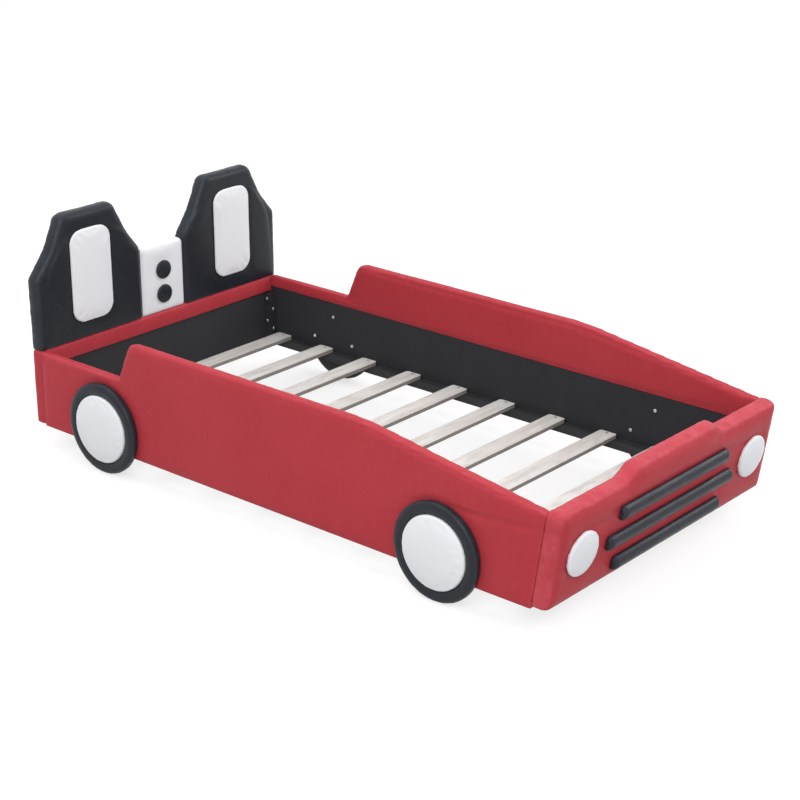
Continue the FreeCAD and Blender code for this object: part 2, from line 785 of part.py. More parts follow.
def makeFrontPanel():
    corners = noseCorners(zero, zero)
    form = roundedBody(
        "front_form",
        "XZ_Plane",
        corners,
        size.noseThickness,
        False,
        [
            (atCorner("y", corners[2], corners[7]), size.noseCorner),
            (atCorner("y", corners[3], corners[4], corners[5], corners[6]), size.bonnetRound),
        ],
        [
            (onFace("y", -size.noseThickness), size.noseRound),
            (onFace("y", zero, size.sideLiningHeight), smaller(size.sideRound, size.noseThickness / 3)),
        ],
    )
    placeOnNose(form, 0, 0, 0)
    inner = noseCorners(size.edgeFoam * 1.5, size.edgeFoam * 1.5)
    blank = roundedBody(
        "front_board_blank", "XZ_Plane", inner, size.noseBoardThickness, False, [], []
    )
    placeOnNose(blank, 0, noseBoardFace, 0)
    boltHoles = drill("front_bolt_holes", nosePostSpots(), size.boltRadius)
    recess = box("front_recess", size.mattressWidth, noseBoardFace + beyond, size.sideLiningHeight + beyond)
    placeOnNose(recess, -liningFace, noseBoardFace, -beyond)
    keep(cut("front_cover", form, [blank, recess]), "front_cover")
    keep(cut("front_board", blank, [boltHoles]), "front_board")
    lining = box("front_lining_blank", size.mattressWidth, size.liningThickness, size.sideLiningHeight)
    placeOnNose(lining, -liningFace, noseBoardFace, 0)
    keep(cut("front_lining", lining, [boltHoles]), "front_lining")
    for side, sign in sideSigns.items():
        makeLamp(side, sign)
    makeGrille()


def makeLamp(side, sign):
    name = side + "_headlamp_pad"
    form = crownedDisc(side + "_headlamp_form", size.lampRadius, size.lampEdge, size.lampCrown, size.lampRound)
    disc = doc.addObject("Part::Cylinder", side + "_headlamp_board")
    bind(disc, "Radius", size.lampRadius - size.lampBoardInset)
    bind(disc, "Height", size.lampBoardThickness)
    for thing in (form, disc):
        placeOnNose(thing, (halfWidth - size.lampStep) * sign, size.noseThickness, size.lampHeight)
        turned = size.noseLean + 90
        thing.Placement.Rotation = FreeCAD.Rotation(FreeCAD.Vector(1, 0, 0), turned.value)
        bind(thing, "Placement.Rotation.Angle", turned)
    keep(cut(name, form, [disc]), name)
    keep(disc, side + "_headlamp_board")


def makeGrille():
    names = ("lower", "middle", "upper")
    for index, name in enumerate(names):
        half = size.barLong if name == "middle" else size.barShort
        label = name + "_grille_bar"
        low = -size.barHigh / 2
        high = size.barHigh / 2
        corners = [(-half, low), (half, low), (half, high), (-half, high)]
        bar = roundedBody(
            label,
            "XZ_Plane",
            corners,
            size.barProud,
            False,
            [(atCorner("y", *corners), size.barEndRound)],
            [(onFace("y", -size.barProud), barRim)],
        )
        placeOnNose(bar, 0, size.noseThickness, size.barHeight + size.barPitch * index)
        keep(bar, label)


# ---- wheels: a bolted disc, a padded black tyre round it and a white hub on it ----
def makeTyre(name):
    body = newBody(name)
    boardRadius = size.wheelRadius - size.wheelBoardInset
    hole = size.hubRadius + size.hubGap
    corners = [
        (boardRadius, zero),
        (size.wheelRadius, zero),
        (size.wheelRadius, size.tyreThick),
        (hole, size.tyreThick),
        (hole, size.wheelBoardThickness),
        (boardRadius, size.wheelBoardThickness),
    ]
    sketch = outline(body, "XZ_Plane", corners)
    ring = body.newObject("PartDesign::Revolution", name + "_turned")
    ring.Profile = sketch
    ring.ReferenceAxis = (sketch, ["V_Axis"])
    ring.Angle = 360
    doc.recompute()

    def rimAt(radius, level):
        def wanted(edge):
            spot = middle(edge)
            across = math.hypot(spot.x, spot.y)
            return abs(across - radius.value) < tiny and abs(spot.z - level.value) < tiny

        return wanted

    front = roundEdges(body, ring, rimAt(size.wheelRadius, size.tyreThick), size.tyreRound)
    inner = roundEdges(body, front, rimAt(hole, size.tyreThick), size.tyreInnerRound)
    roundEdges(body, inner, rimAt(size.wheelRadius, zero), size.tyreBackRound)
    return body


def makeWheels():
    height = groundGap + size.wheelRise
    floor = box("floor_cut", size.bedLength, size.bedLength * 2, size.wheelRadius)
    place(floor, -size.bedLength / 2, -size.bedLength, -size.wheelRadius)
    for side, sign in sideSigns.items():
        holes = drill(side + "_wheel_holes", wheelBoltSpots(side), size.boltRadius)
        for end, y in wheelPlaces.items():
            name = side + "_" + end
            tyre = makeTyre(name + "_tyre_form")
            place(tyre, halfWidth * sign, y, height, (0, 1, 0), 90 * sign)
            keep(cut(name + "_tyre_pad", tyre, [floor]), name + "_tyre_pad")
            disc = doc.addObject("Part::Cylinder", name + "_wheel_disc")
            bind(disc, "Radius", size.wheelRadius - size.wheelBoardInset)
            bind(disc, "Height", size.wheelBoardThickness)
            place(disc, halfWidth * sign, y, height, (0, 1, 0), 90 * sign)
            keep(cut(name + "_wheel_board", disc, [holes]), name + "_wheel_board")
            hub = crownedDisc(name + "_hub_pad", size.hubRadius, size.hubEdge, size.hubCrown, size.hubRound)
            place(hub, (halfWidth + size.wheelBoardThickness) * sign, y, height, (0, 1, 0), 90 * sign)
            keep(hub, name + "_hub_pad")


# ---- what carries the mattress: rails along the sides, slats across, posts in the corners ----
def makeRails():
    rearEnd = headLiningFace - size.postWide - size.railEndGap
    postInner = size.rollProud - size.postWide
    lowFront = nosePoint(0, postInner, size.postFoot)[1]
    frontEnd = lowFront + size.railEndGap
    for side, sign in sideSigns.items():
        rail = box(side + "_slat_rail_blank", size.railWide, rearEnd - frontEnd, railTop - size.postFoot)
        x = liningFace - size.railWide if sign > 0 else -liningFace
        place(rail, x, frontEnd, groundGap + size.postFoot)
        spots = railScrewSpots(side)
        slatSpots = [slatScrewSpots(index)[0 if sign < 0 else 1] for index in slatNumbers]
        tools = [
            drill(side + "_rail_holes", spots, size.screwRadius),
            countersink(side + "_rail_sinks", spots),
            drill(side + "_slat_holes", slatSpots, size.screwRadius),
        ]
        keep(cut(side + "_slat_rail", rail, tools), side + "_slat_rail")


def makeSlats():
    half = liningFace - size.slatEndGap
    edge = size.slatWide / 2
    for index in slatNumbers:
        name = "slat_%02d" % (index + 1)
        corners = [(-half, -edge), (half, -edge), (half, edge), (-half, edge)]
        slat = roundedBody(
            name + "_blank",
            "XY_Plane",
            corners,
            size.slatThick,
            False,
            [(atCorner("z", *corners), size.slatCorner)],
            [],
        )
        place(slat, 0, slatPlace(index), groundGap + railTop)
        spots = slatScrewSpots(index)
        tools = [drill(name + "_holes", spots, size.screwRadius), countersink(name + "_sinks", spots)]
        keep(cut(name, slat, tools), name)


def makePosts():
    tall = size.postTop - size.postFoot
    headHoles = drill("head_post_holes", headPostSpots(), size.boltRadius)
    noseHoles = drill("nose_post_holes", nosePostSpots(), size.boltRadius)
    for side, sign in sideSigns.items():
        x = liningFace - size.postWide if sign > 0 else -liningFace
        sideHoles = drill(side + "_post_holes", postSideSpots(side), size.boltRadius)
        rear = box(side + "_rear_post_blank", size.postWide, size.postWide, tall)
        place(rear, x, headLiningFace - size.postWide, groundGap + size.postFoot)
        keep(cut(side + "_rear_post", rear, [headHoles, sideHoles]), side + "_rear_post")
        front = box(side + "_front_post_blank", size.postWide, size.postWide, tall)
        placeOnNose(front, x, size.rollProud, size.postFoot)
        keep(cut(side + "_front_post", front, [noseHoles, sideHoles]), side + "_front_post")


for sideName in sideSigns:
    makeSide(sideName)
makeHeadboard()
makeFrontPanel()
makeWheels()
makeRails()
makeSlats()
makePosts()
boltGroup("wheel_bolts", wheelBoltSpots("right") + wheelBoltSpots("left"))
boltGroup(
    "post_bolts", postSideSpots("right") + postSideSpots("left") + headPostSpots() + nosePostSpots()
)
screwGroup("slat_rail_screws", railScrewSpots("right") + railScrewSpots("left"))
screwGroup("slat_screws", [spot for index in slatNumbers for spot in slatScrewSpots(index)])
doc.recompute()

# ---- check everything, then write one file for each sub-part ----
broken = [thing.Name for thing in doc.Objects if {"Invalid", "Error"} & set(thing.State)]
if broken:
    raise RuntimeError("failed objects: " + ", ".join(broken))
os.makedirs("parts", exist_ok=True)
for thing in parts:
    shape = thing.Shape
    if shape.isNull() or not shape.isValid() or not shape.Solids:
        raise RuntimeError("no valid solid in " + thing.Label)
for thing in parts:
    thing.Shape.exportStep("parts/" + thing.Label + ".step")
    print("%-26s %2d solids %10.1f cm3" % (thing.Label, len(thing.Shape.Solids), thing.Shape.Volume / 1000))
whole = Part.makeCompound([thing.Shape for thing in parts]).BoundBox
print("%d sub-parts, box x %.2f %.2f  y %.2f %.2f  z %.2f %.2f" % (
    len(parts), whole.XMin, whole.XMax, whole.YMin, whole.YMax, whole.ZMin, whole.ZMax))
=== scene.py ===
import math

import bpy
import numpy as np
from mathutils import Matrix, Vector, noise


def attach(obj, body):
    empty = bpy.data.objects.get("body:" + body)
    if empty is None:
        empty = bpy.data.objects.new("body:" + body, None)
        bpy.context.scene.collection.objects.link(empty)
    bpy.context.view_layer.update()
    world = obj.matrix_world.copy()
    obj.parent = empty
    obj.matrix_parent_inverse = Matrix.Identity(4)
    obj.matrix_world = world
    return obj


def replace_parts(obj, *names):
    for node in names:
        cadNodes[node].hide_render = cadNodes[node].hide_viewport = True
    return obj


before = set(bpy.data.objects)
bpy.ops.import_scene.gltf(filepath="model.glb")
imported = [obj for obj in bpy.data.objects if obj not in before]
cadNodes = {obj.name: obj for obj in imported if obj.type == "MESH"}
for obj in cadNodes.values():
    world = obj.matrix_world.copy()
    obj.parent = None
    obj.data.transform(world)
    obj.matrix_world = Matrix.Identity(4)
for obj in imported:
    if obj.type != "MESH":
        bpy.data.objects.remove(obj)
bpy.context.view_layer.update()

# Car bed for children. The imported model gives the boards, slats, rails, posts, bolts and screws.
# The pads are sewn round the boards here. Lengths in the dictionaries are in millimetres, and a
# piece of both sides is described on the left.
scene = bpy.context.scene
mm = 0.001
sides = {"left": 1, "right": -1}

# The front panel leans forward, and "leaning" places are measured on it.
nose = {"lean": math.radians(8.6), "foot": -918.27, "drop": 79.57}
outOfNose = (0, -0.98876, -0.14954)
wheelSpots = {"rear": 688.28, "front": -616.27, "height": 142.5}
lampSpot = (411, 144)


def fromNose(x, out, up):
    # A point given on the leaning panel: across, out of its back face, up its slope.
    s, c = math.sin(nose["lean"]), math.cos(nose["lean"])
    return (x, nose["foot"] - out * c - up * s, nose["drop"] - out * s + up * c)


def toNose(points):
    s, c = math.sin(nose["lean"]), math.cos(nose["lean"])
    y, z = points[:, 1] - nose["foot"], points[:, 2] - nose["drop"]
    return np.column_stack((points[:, 0], -y * c - z * s, -y * s + z * c))


def onSlope(a, b, t):
    return fromNose(a, t, b)


# Helpers for meshes.
def pickOnly(piece, *others):
    if bpy.context.mode != "OBJECT":
        bpy.ops.object.mode_set(mode="OBJECT")
    bpy.ops.object.select_all(action="DESELECT")
    for one in (piece, *others):
        one.select_set(True)
    bpy.context.view_layer.objects.active = piece


def openMesh(piece, what="VERT"):
    pickOnly(piece)
    bpy.ops.object.mode_set(mode="EDIT")
    bpy.ops.mesh.select_mode(type=what)
    bpy.ops.mesh.select_all(action="SELECT")


def closeMesh():
    bpy.ops.object.mode_set(mode="OBJECT")


def nameIt(piece, name):
    piece.name = name
    piece.data.name = name
    return piece


def mergedCopy(node, name):
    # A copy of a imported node, its loose triangles joined up.
    piece = bpy.data.objects.new(name, cadNodes[node].data.copy())
    piece.data.name = name
    scene.collection.objects.link(piece)
    openMesh(piece)
    bpy.ops.mesh.remove_doubles(threshold=1e-5)
    closeMesh()
    return piece


def keepBehind(piece, point, normal):
    openMesh(piece)
    bpy.ops.mesh.bisect(
        plane_co=[v * mm for v in point], plane_no=normal, use_fill=True, clear_outer=True
    )
    closeMesh()


def readPoints(piece):
    flat = np.empty(len(piece.data.vertices) * 3, np.float32)
    piece.data.vertices.foreach_get("co", flat)
    return flat.reshape(-1, 3).astype(float) / mm


def readNormals(piece):
    flat = np.empty(len(piece.data.vertices) * 3, np.float32)
    piece.data.vertex_normals.foreach_get("vector", flat)
    return flat.reshape(-1, 3).astype(float)


def writePoints(piece, points):
    piece.data.vertices.foreach_set("co", (points * mm).astype(np.float32).ravel())
    piece.data.update()


def finishModifier(piece, kind, **settings):
    pickOnly(piece)
    modifier = piece.modifiers.new(kind.lower(), kind)
    for key, value in settings.items():
        setattr(modifier, key, value)
    bpy.ops.object.modifier_apply(modifier=modifier.name)


def carve(piece, cutters):
    # Where the fast solver changes nothing or leaves nothing, the exact one cuts instead.
    for cutter in cutters:
        before = len(piece.data.vertices)
        cut = {"object": cutter, "operation": "DIFFERENCE"}
        finishModifier(piece, "BOOLEAN", **cut, solver="MANIFOLD")
        if len(piece.data.vertices) == before or not piece.data.polygons:
            finishModifier(piece, "BOOLEAN", **cut, solver="EXACT")
    for cutter in cutters:
        bpy.data.objects.remove(cutter)


def slab(corners, low, high, where, rounds=None, roundSteps=7):
    # A flat plate with the given corners and thickness, rounded at some of its corners.
    bpy.ops.object.select_all(action="DESELECT")
    bpy.ops.mesh.primitive_circle_add(vertices=len(corners), radius=1, fill_type="NGON")
    piece = bpy.context.object
    for vertex, (a, b) in zip(piece.data.vertices, corners):
        vertex.co = (a, b, 0)
    for index, offset in sorted((rounds or {}).items(), reverse=True):
        openMesh(piece)
        bpy.ops.mesh.select_all(action="DESELECT")
        closeMesh()
        piece.data.vertices[index].select = True
        bpy.ops.object.mode_set(mode="EDIT")
        bpy.ops.mesh.bevel(offset=offset, segments=roundSteps, affect="VERTICES")
        closeMesh()
    openMesh(piece, "FACE")
    bpy.ops.mesh.extrude_region_move(TRANSFORM_OT_translate={"value": (0, 0, 1)})
    closeMesh()
    points = np.array([v.co for v in piece.data.vertices], float)
    thick = np.where(points[:, 2] > 0.5, high, low)
    writePoints(piece, np.array([where(a, b, t) for (a, b), t in zip(points[:, :2], thick)]))
    openMesh(piece)
    bpy.ops.mesh.normals_make_consistent(inside=False)
    closeMesh()
    return piece


def block(low, high):
    corners = [(low[0], low[1]), (high[0], low[1]), (high[0], high[1]), (low[0], high[1])]
    return slab(corners, low[2], high[2], lambda a, b, t: (a, b, t))


def disc(centre, radius, low, high, where, steps=96):
    turns = [math.tau * step / steps for step in range(steps)]
    corners = [(centre[0] + radius * math.cos(t), centre[1] + radius * math.sin(t)) for t in turns]
    return slab(corners, low, high, where)


def doubled(piece, name):
    copy = piece.copy()
    copy.data = piece.data.copy()
    scene.collection.objects.link(copy)
    return nameIt(copy, name)


def mirrored(piece, name):
    copy = doubled(piece, name)
    writePoints(copy, readPoints(copy) * (-1, 1, 1))
    openMesh(copy)
    bpy.ops.mesh.flip_normals()
    closeMesh()
    return copy


def shifted(piece, name, step):
    copy = doubled(piece, name)
    writePoints(copy, readPoints(copy) + np.array(step, float))
    return copy


# Sewing and stuffing. A pad's own values come before these.
stuffing = {
    "frames": 20, "quality": 4, "mass": 0.3, "tight": 12, "shear": 5, "stiff": 0.8, "pressure": 4,
    "holdSteps": 10, "fade": 12, "slide": 0.3, "quickShare": 0.7,
}
creasing = {
    "waveSpan": 130, "puckerSpan": 21, "lineSpan": 9, "lineShare": 0.35, "rim": 0.3,
    "puckerSeed": 7, "lineSeed": 13,
}


def easeIn(distance, fade):
    t = np.clip(distance / fade, 0, 1)
    return t * t * (3 - 2 * t)


def freedom(points, pad):
    # 1 where the padding may swell, 0 where it is held by a board, a neighbour or the floor.
    spots = toNose(points) if pad.get("leaning") else points
    free = np.ones(len(spots))
    for zone in pad["held"]:
        if "wall" in zone:
            away = -(spots - np.array(zone["wall"])) @ np.array(zone["facing"])
        elif "disc" in zone:
            (first, second), (a, b) = zone["across"], zone["disc"]
            level = spots[:, 3 - first - second]
            away = np.hypot(spots[:, first] - a, spots[:, second] - b) - zone["radius"]
            away = np.maximum(away, np.maximum(zone["from"] - level, level - zone["to"]))
        else:
            low, high = np.array(zone["low"]), np.array(zone["high"])
            away = np.linalg.norm(np.maximum(np.maximum(low - spots, spots - high), 0), axis=1)
        free = np.minimum(free, easeIn(away, zone.get("fade", stuffing["fade"])))
    return free


def softForm(name, pad, parts):
    # The pad and what fills it become one closed skin of even squares.
    piece, others = parts[0], parts[1:]
    if others:
        pickOnly(piece, *others)
        bpy.ops.object.join()
    nameIt(piece, name)
    finishModifier(piece, "REMESH", mode="VOXEL", voxel_size=pad["weave"] * mm, adaptivity=0)
    piece.data.materials.clear()
    return piece


def blowUp(piece, pad, free):
    # The skin is filled as cloth under pressure, and what isn't free stays pinned.
    pinned = piece.vertex_groups.new(name="held")
    steps = stuffing["holdSteps"]
    for level in range(1, steps + 1):
        chosen = np.flatnonzero(np.rint((1 - free) * steps) == level)
        if len(chosen):
            pinned.add(chosen.tolist(), level / steps, "REPLACE")
    pickOnly(piece)
    cloth = piece.modifiers.new("stuffing", "CLOTH")
    fabric = cloth.settings
    fabric.quality = stuffing["quality"]
    fabric.mass = stuffing["mass"]
    fabric.tension_stiffness = fabric.compression_stiffness = pad.get("tight", stuffing["tight"])
    fabric.shear_stiffness = stuffing["shear"]
    fabric.bending_stiffness = pad.get("stiff", stuffing["stiff"])
    fabric.use_pressure = True
    fabric.uniform_pressure_force = pad.get("pressure", stuffing["pressure"])
    fabric.vertex_group_mass = "held"
    fabric.effector_weights.gravity = 0
    cloth.collision_settings.use_collision = False
    cloth.point_cache.frame_start = 1
    cloth.point_cache.frame_end = stuffing["frames"]
    for step in range(1, stuffing["frames"] + 1):
        scene.frame_set(step)
    bpy.ops.object.modifier_apply(modifier=cloth.name)
    scene.frame_set(1)
    piece.vertex_groups.clear()


def press(piece, pad):
    # Edges that lie against a neighbour are squeezed flat on it, which closes the seam.
    points = readPoints(piece)
    for touch in pad.get("pressed", ()):
        axis, level, reach = touch["axis"], touch["level"], touch["reach"]
        spots = toNose(points) if touch.get("leaning") else points
        inside = np.all((spots > touch["low"]) & (spots < touch["high"]), axis=1)
        ease = easeIn(reach - np.abs(spots[:, axis] - level), reach / 2) * inside
        spots[:, axis] += (level - spots[:, axis]) * ease
        points = np.column_stack(fromNose(*spots.T)) if touch.get("leaning") else spots
    writePoints(piece, points)


def swell(piece, pad):
    start, normals = readPoints(piece), readNormals(piece)
    free = freedom(start, pad)
    blowUp(piece, pad, free)
    move = readPoints(piece) - start
    push = (move * normals).sum(axis=1)[:, None]
    outwards = push * normals
    move = np.where(push > 0, outwards, 0) + (move - outwards) * stuffing["slide"]
    if "crown" in pad:  # a small pad rises at its face only, and keeps its outline
        crown = np.array(pad["crown"])
        rise = np.maximum(move @ crown, 0) + pad.get("rise", 0)
        move = rise[:, None] * crown
    travel = np.linalg.norm(move, axis=1)
    wanted = pad["swell"] * np.tanh(travel / pad["swell"]) * free
    writePoints(piece, start + move * (wanted / np.maximum(travel, 1e-6))[:, None])
    finishModifier(piece, "SUBSURF", levels=1, render_levels=1)
    press(piece, pad)
    return piece


def drift(points, span, seed):
    scaled = points / span + seed
    return np.array([noise.noise(Vector(p)) for p in scaled])


def wrinkle(piece, pad, seed, sign=1):
    # Soft waves over the faces, short puckers on the rolled rims, and the roll kept as the mask of
    # a painted highlight on the rims.
    # A right pad with sign -1 is turned over to the left for it, where its held places are given.
    turned = (sign, 1, 1)
    writePoints(piece, readPoints(piece) * turned)
    points, normals = readPoints(piece), readNormals(piece)
    facing = np.array(pad["faces"], float)
    facing /= np.linalg.norm(facing, axis=1)[:, None]
    rim = np.clip((1 - np.abs(normals @ facing.T).max(axis=1)) / creasing["rim"], 0, 1)
    puckers = drift(points, creasing["puckerSpan"], seed + creasing["puckerSeed"])
    lines = drift(points, creasing["lineSpan"], seed + creasing["lineSeed"])
    lift = drift(points, pad.get("waveSpan", creasing["waveSpan"]), seed) * pad["waves"]
    lift += puckers * pad["puckers"] * rim
    lift += lines * pad["puckers"] * creasing["lineShare"] * rim
    points += normals * (lift * freedom(points, pad))[:, None]
    writePoints(piece, points * turned)
    # The roll is the mask of the painted highlight on the rims, in the vinyl finishes.
    roll = piece.data.attributes.new("roll", "FLOAT", "POINT")
    roll.data.foreach_set("value", rim.astype(np.float32))


def restOn(piece, floorLevel):
    points = readPoints(piece)
    points[:, 2] = np.maximum(points[:, 2], floorLevel)
    writePoints(piece, points)


def finishPad(piece, material, slot, *nodes, fill=0.6):
    pickOnly(piece)
    bpy.ops.object.shade_smooth()
    piece.data.materials.clear()
    piece.data.materials.append(material)
    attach(piece, "root")
    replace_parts(piece, *nodes)


# Mixing finishes.
def newFinish(name, roughness):
    material = bpy.data.materials.new(name)
    material.use_nodes = True
    tree = material.node_tree
    tree.nodes.clear()
    out = tree.nodes.new("ShaderNodeOutputMaterial")
    shader = tree.nodes.new("ShaderNodeBsdfPrincipled")
    shader.inputs["Roughness"].default_value = roughness
    tree.links.new(shader.outputs["BSDF"], out.inputs["Surface"])
    place = tree.nodes.new("ShaderNodeTexCoord")
    return material, tree, shader, place.outputs["Object"]


def stretchedPlace(tree, place, scale):
    mapping = tree.nodes.new("ShaderNodeMapping")
    mapping.inputs["Scale"].default_value = scale
    tree.links.new(place, mapping.inputs["Vector"])
    return mapping.outputs["Vector"]


def noiseField(tree, place, scale, detail, rough=0.5):
    field = tree.nodes.new("ShaderNodeTexNoise")
    field.inputs["Scale"].default_value = scale
    field.inputs["Detail"].default_value = detail
    field.inputs["Roughness"].default_value = rough
    tree.links.new(place, field.inputs["Vector"])
    return field.outputs["Fac"]


def cellField(tree, place, scale):
    field = tree.nodes.new("ShaderNodeTexVoronoi")
    field.inputs["Scale"].default_value = scale
    tree.links.new(place, field.inputs["Vector"])
    return field.outputs["Distance"]


def between(tree, value, fromLow, fromHigh, toLow, toHigh):
    span = tree.nodes.new("ShaderNodeMapRange")
    ends = {"From Min": fromLow, "From Max": fromHigh, "To Min": toLow, "To Max": toHigh}
    for key, number in ends.items():
        span.inputs[key].default_value = number
    tree.links.new(value, span.inputs["Value"])
    return span.outputs["Result"]


def sums(tree, kind, first, second):
    node = tree.nodes.new("ShaderNodeMath")
    node.operation = kind
    for socket, value in zip(node.inputs, (first, second)):
        if isinstance(value, (int, float)):
            socket.default_value = value
        else:
            tree.links.new(value, socket)
    return node.outputs["Value"]


def linear(red, green, blue):
    # A tone as it is read off a screen, 0 to 255, made into the value a shader takes.
    levels = [v / 255 for v in (red, green, blue)]
    return tuple(v / 12.92 if v <= 0.04045 else ((v + 0.055) / 1.055) ** 2.4 for v in levels)


def blendTones(tree, field, span, under, over):
    # The tone over covers the tone under, as far as the field goes through the span. Under is
    # three numbers, or the outcome of an earlier blend.
    node = tree.nodes.new("ShaderNodeMix")
    node.data_type = "RGBA"
    tree.links.new(between(tree, field, *span), node.inputs["Factor"])
    lower, upper = [s for s in node.inputs if s.type == "RGBA"]
    if isinstance(under, tuple):
        lower.default_value = (*linear(*under), 1)
    else:
        tree.links.new(under, lower)
    upper.default_value = (*linear(*over), 1)
    return [s for s in node.outputs if s.type == "RGBA"][0]


def relief(tree, shader, height, depth, strength, under=None):
    bump = tree.nodes.new("ShaderNodeBump")
    bump.inputs["Distance"].default_value = depth
    bump.inputs["Strength"].default_value = strength
    tree.links.new(height, bump.inputs["Height"])
    if under is not None:
        tree.links.new(under, bump.inputs["Normal"])
    tree.links.new(bump.outputs["Normal"], shader.inputs["Normal"])
    return bump.outputs["Normal"]


# A noise pattern is given as scale, detail and roughness, a span as from low, from high, to low,
# to high, and a relief as its depth in metres and its strength.
evenly = (0.3, 0.7, 0, 1)
vinylGrain = {
    "clouds": (3.2, 4), "mottles": (55, 5), "mottleSpan": (0.45, 0.8), "patches": (28, 4, 0.6),
    "patchSpan": (0.35, 0.7, 0.15), "rubs": (9, 4), "smoother": 0.05, "rougher": 0.07,
    "creases": (26, 3), "creaseRelief": (0.0008, 0.22), "pores": 560, "hairs": (1300, 2),
    "poreRelief": (0.0004, 0.45),
}


def vinylFinish(name, vinyl):
    material, tree, shader, place = newFinish(name, vinyl["roughness"])
    broad = noiseField(tree, place, *vinylGrain["clouds"])
    tone = blendTones(tree, broad, evenly, vinyl["deep"], vinyl["tone"])
    fine = noiseField(tree, place, *vinylGrain["mottles"])
    mottled = (*vinylGrain["mottleSpan"], 0, vinyl["mottle"])
    tone = blendTones(tree, fine, mottled, tone, vinyl["light"])
    # Painted highlight: the rolled rims are lightened in patches towards the light tone, standing
    # in for the sheen they catch.
    roll = tree.nodes.new("ShaderNodeAttribute")
    roll.attribute_name = "roll"
    patches = noiseField(tree, place, *vinylGrain["patches"])
    patches = between(tree, patches, *vinylGrain["patchSpan"], vinyl["rimHighlight"])
    patchyMask = sums(tree, "MULTIPLY", roll.outputs["Fac"], patches)
    tone = blendTones(tree, patchyMask, (0, 1, 0, 1), tone, vinyl["light"])
    tree.links.new(tone, shader.inputs["Base Color"])
    rubs = noiseField(tree, place, *vinylGrain["rubs"])
    smooth = vinyl["roughness"] - vinylGrain["smoother"]
    rough = vinyl["roughness"] + vinylGrain["rougher"]
    tree.links.new(between(tree, rubs, *evenly[:2], smooth, rough), shader.inputs["Roughness"])
    creases = noiseField(tree, place, *vinylGrain["creases"])
    creases = relief(tree, shader, creases, *vinylGrain["creaseRelief"])
    hairs = noiseField(tree, place, *vinylGrain["hairs"])
    pores = sums(tree, "ADD", cellField(tree, place, vinylGrain["pores"]), hairs)
    relief(tree, shader, pores, *vinylGrain["poreRelief"], creases)
    shader.inputs["Specular IOR Level"].default_value = vinyl["gloss"]
    return material


redVinyl = vinylFinish(
    "redVinyl",
    {
        "tone": (178, 60, 68), "deep": (172, 54, 62), "light": (207, 92, 105), "mottle": 0.1,
        "roughness": 0.36, "gloss": 0.07, "rimHighlight": 0.5,
    },
)
blackVinyl = vinylFinish(
    "blackVinyl",
    {
        "tone": (35, 39, 45), "deep": (30, 34, 40), "light": (66, 72, 81), "mottle": 0.1,
        "roughness": 0.3, "gloss": 0.19, "rimHighlight": 0.3,
    },
)
whiteVinyl = vinylFinish(
    "whiteVinyl",
    {
        "tone": (228, 230, 234), "deep": (224, 226, 231), "light": (238, 239, 242), "mottle": 0.2,
        "roughness": 0.38, "gloss": 0.35, "rimHighlight": 0.6,
    },
)


def liningFinish(name, lining):
    material, tree, shader, place = newFinish(name, lining["roughness"])
    cloudy = noiseField(tree, place, *lining["clouds"])
    tone = blendTones(tree, cloudy, evenly, lining["deep"], lining["tone"])
    dots = cellField(tree, place, lining["dots"])
    tone = blendTones(tree, dots, lining["dotSpan"], tone, lining["light"])
    tree.links.new(tone, shader.inputs["Base Color"])
    fibres = noiseField(tree, stretchedPlace(tree, place, lining["along"]), *lining["fibres"])
    relief(tree, shader, sums(tree, "ADD", dots, fibres), *lining["relief"])
    shader.inputs["Sheen Weight"].default_value = lining["sheen"]
    return material


blackLining = liningFinish(
    "blackLining",
    {
        "tone": (26, 28, 33), "deep": (20, 22, 27), "light": (42, 45, 51), "clouds": (6, 4),
        "dots": 330, "dotSpan": (0, 0.45, 0.5, 0), "fibres": (900, 3), "along": (1, 0.35, 1),
        "relief": (0.0004, 0.6), "sheen": 0.1, "roughness": 0.85,
    },
)

woodMarks = {
    "grain": (1, 6, 0.62), "grainSpan": (0.32, 0.68, 0, 1), "relief": (0.0006, 0.35),
    "streaks": (1, 4, 0.7), "streakSpan": (0.5, 0.8, 0, 0.6), "streakFiner": 3.1,
    "stains": (1, 6, 0.65), "stainSpan": (0.46, 0.68, 0, 0.7), "stainAlong": (9, 26, 26),
    "edgeSpan": (0.3, 0.8, 0.75, 0),
}


def woodFinish(name, wood):
    material, tree, shader, place = newFinish(name, wood["roughness"])
    grainPlace = stretchedPlace(tree, place, wood["along"])
    streakPlace = stretchedPlace(tree, place, [v * woodMarks["streakFiner"] for v in wood["along"]])
    stainPlace = stretchedPlace(tree, place, woodMarks["stainAlong"])
    grain = noiseField(tree, grainPlace, *woodMarks["grain"])
    streaks = noiseField(tree, streakPlace, *woodMarks["streaks"])
    stains = noiseField(tree, stainPlace, *woodMarks["stains"])
    tone = blendTones(tree, grain, woodMarks["grainSpan"], wood["deep"], wood["tone"])
    tone = blendTones(tree, streaks, woodMarks["streakSpan"], tone, wood["streak"])
    tone = blendTones(tree, stains, woodMarks["stainSpan"], tone, wood["stain"])
    if "edge" in wood:  # painted shade: the upright faces are darker than the flat faces, as if turned from the light
        faces = tree.nodes.new("ShaderNodeSeparateXYZ")
        tree.links.new(place.node.outputs["Normal"], faces.inputs["Vector"])
        upright = sums(tree, "ABSOLUTE", faces.outputs["Z"], 0)
        tone = blendTones(tree, upright, woodMarks["edgeSpan"], tone, wood["edge"])
    tree.links.new(tone, shader.inputs["Base Color"])
    relief(tree, shader, sums(tree, "ADD", grain, streaks), *woodMarks["relief"])
    return material


slatWood = woodFinish(
    "slatWood",
    {
        "tone": (226, 225, 222), "deep": (203, 200, 196), "streak": (170, 166, 160),
        "stain": (181, 177, 171), "edge": (120, 113, 104), "along": (2.2, 50, 50),
        "roughness": 0.6,
    },
)
blackWood = woodFinish(
    "blackWood",
    {
        "tone": (36, 37, 40), "deep": (27, 28, 31), "streak": (48, 49, 52),
        "stain": (42, 43, 46), "along": (70, 3, 70), "roughness": 0.7,
    },
)

